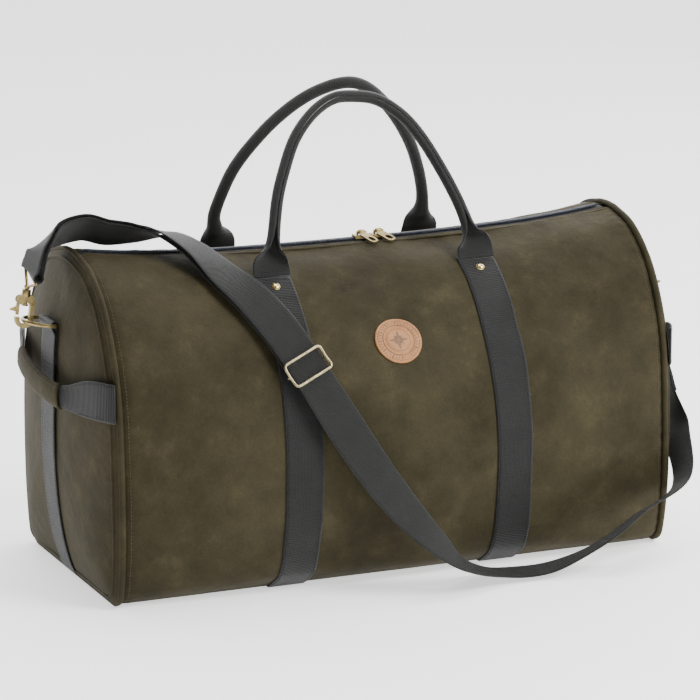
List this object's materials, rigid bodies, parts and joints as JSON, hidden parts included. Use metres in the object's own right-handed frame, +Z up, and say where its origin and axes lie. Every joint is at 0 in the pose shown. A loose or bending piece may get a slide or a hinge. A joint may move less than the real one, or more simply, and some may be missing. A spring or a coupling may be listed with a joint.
{
  "type": "weekender bag",
  "caption": "Canvas weekender bag with webbing carry loops, rolled top handles, end grab handles, a double-slider zip and a clip-on adjustable shoulder strap.",
  "frame": {"origin": "middle of the base, on the surface that the bag stands on", "axes": "+X along the bag to its right end, -Y out of the front with the leather patch, +Z up"},
  "size_m": [0.7302, 0.3912, 0.4932],
  "materials": {
    "canvas": "waxed canvas, mottled, matt",
    "lining": "plain woven lining",
    "board": "plain",
    "zip_tape": "woven tape",
    "zip_coil": "nylon coil",
    "leather": "embossed, satin",
    "rivet_brass": "polished",
    "bright_brass": "brushed, slightly aged",
    "antique_brass": "antiqued, worn bright on the edges",
    "core_cord": "braided filler cord",
    "webbing": "woven webbing, matt"
  },
  "bodies": {
    "bag": {"front_panel": "canvas", "back_panel": "canvas", "base_panel": "canvas", "left_end_panel": "canvas", "right_end_panel": "canvas", "left_piping": "canvas", "right_piping": "canvas", "lining": "lining", "left_lining_end": "lining", "right_lining_end": "lining", "base_board": "board", "front_zip_tape": "zip_tape", "back_zip_tape": "zip_tape", "front_zip_coil": "zip_coil", "back_zip_coil": "zip_coil", "zip_stops": "antique_brass", "left_carry_loop": "webbing", "right_carry_loop": "webbing", "handle_rivets": "rivet_brass", "leather_patch": "leather", "left_end_webbing": "webbing", "right_end_webbing": "webbing", "left_grab_tails": "webbing", "right_grab_tails": "webbing"},
    "front_handle": {"front_handle": "webbing", "front_handle_core": "core_cord"},
    "back_handle": {"back_handle": "webbing", "back_handle_core": "core_cord"},
    "left_slider": {"left_zip_slider": "antique_brass"},
    "right_slider": {"right_zip_slider": "antique_brass"},
    "left_puller": {"left_zip_puller": "antique_brass"},
    "right_puller": {"right_zip_puller": "antique_brass"},
    "left_dring": {"left_dring": "antique_brass"},
    "right_dring": {"right_dring": "antique_brass"},
    "left_grip": {"left_grab_handle": "webbing", "left_grab_wrap": "canvas"},
    "right_grip": {"right_grab_handle": "webbing", "right_grab_wrap": "canvas"},
    "strap": {"shoulder_strap": "webbing", "strap_return": "webbing", "left_swivel_eye": "antique_brass", "right_swivel_eye": "antique_brass"},
    "left_hook": {"left_hook": "antique_brass", "left_hook_pin": "antique_brass"},
    "right_hook": {"right_hook": "antique_brass", "right_hook_pin": "antique_brass"},
    "left_trigger": {"left_trigger": "antique_brass"},
    "right_trigger": {"right_trigger": "antique_brass"},
    "adjuster": {"strap_adjuster": "bright_brass"}
  },
  "joints": [
    {"name": "front_handle_fold", "type": "hinge", "parent": "bag", "child": "front_handle", "pos_m": [0, -0.061, 0.312], "axis": [1, 0, 0], "range_deg": [0, 95]},
    {"name": "back_handle_fold", "type": "hinge", "parent": "bag", "child": "back_handle", "pos_m": [0, 0.061, 0.312], "axis": [1, 0, 0], "range_deg": [-114, 0]},
    {"name": "left_slider_run", "type": "slide", "parent": "bag", "child": "left_slider", "axis": [-0.9995, 0, 0.0301], "range_m": [0, 0.284]},
    {"name": "right_slider_run", "type": "slide", "parent": "bag", "child": "right_slider", "axis": [0.9994, 0, 0.036], "range_m": [0, 0.233]},
    {"name": "left_puller_swing", "type": "hinge", "parent": "left_slider", "child": "left_puller", "pos_m": [0.0165, 0, 0.33197], "axis": [0.9995, 0, -0.0301], "range_deg": [-214, 0]},
    {"name": "right_puller_swing", "type": "hinge", "parent": "right_slider", "child": "right_puller", "pos_m": [0.03546, 0, 0.33203], "axis": [0.9994, 0, 0.036], "range_deg": [-214, 0]},
    {"name": "left_dring_tilt", "type": "hinge", "parent": "bag", "child": "left_dring", "pos_m": [-0.3254, 0, 0.268], "axis": [0, 1, 0], "range_deg": [0, 6]},
    {"name": "right_dring_tilt", "type": "hinge", "parent": "bag", "child": "right_dring", "pos_m": [0.3254, 0, 0.268], "axis": [0, 1, 0], "range_deg": [-6, 0]},
    {"name": "left_grip_lift", "type": "hinge", "parent": "bag", "child": "left_grip", "pos_m": [-0.313, 0, 0.213], "axis": [0, 1, 0], "range_deg": [0, 28]},
    {"name": "right_grip_lift", "type": "hinge", "parent": "bag", "child": "right_grip", "pos_m": [0.313, 0, 0.213], "axis": [0, 1, 0], "range_deg": [-28, 0]},
    {"name": "strap_swing", "type": "hinge", "parent": "bag", "child": "strap", "pos_m": [-0.35157, 0, 0.27215], "axis": [0.9997, 0, -0.0254], "range_deg": [-7, 0]},
    {"name": "left_hook_swivel", "type": "hinge", "parent": "strap", "child": "left_hook", "pos_m": [-0.35157, 0, 0.27215], "axis": [0.1305, 0, 0.9914], "range_deg": [-20, 20]},
    {"name": "right_hook_swivel", "type": "hinge", "parent": "strap", "child": "right_hook", "pos_m": [0.34812, 0, 0.25435], "axis": [0.0872, 0, -0.9962], "range_deg": [-20, 20]},
    {"name": "left_trigger_press", "type": "hinge", "parent": "left_hook", "child": "left_trigger", "pos_m": [-0.35491, 0, 0.29427], "axis": [0, -1, 0], "range_deg": [0, 15], "stiffness_Nm_per_rad": 0.03},
    {"name": "right_trigger_press", "type": "hinge", "parent": "right_hook", "child": "right_trigger", "pos_m": [0.35582, 0, 0.23746], "axis": [0, -1, 0], "range_deg": [0, 15], "stiffness_Nm_per_rad": 0.03},
    {"name": "adjuster_slide", "type": "slide", "parent": "strap", "child": "adjuster", "axis": [0.4126, -0.4401, -0.7976], "range_m": [-0.012, 0.012]}
  ]
}
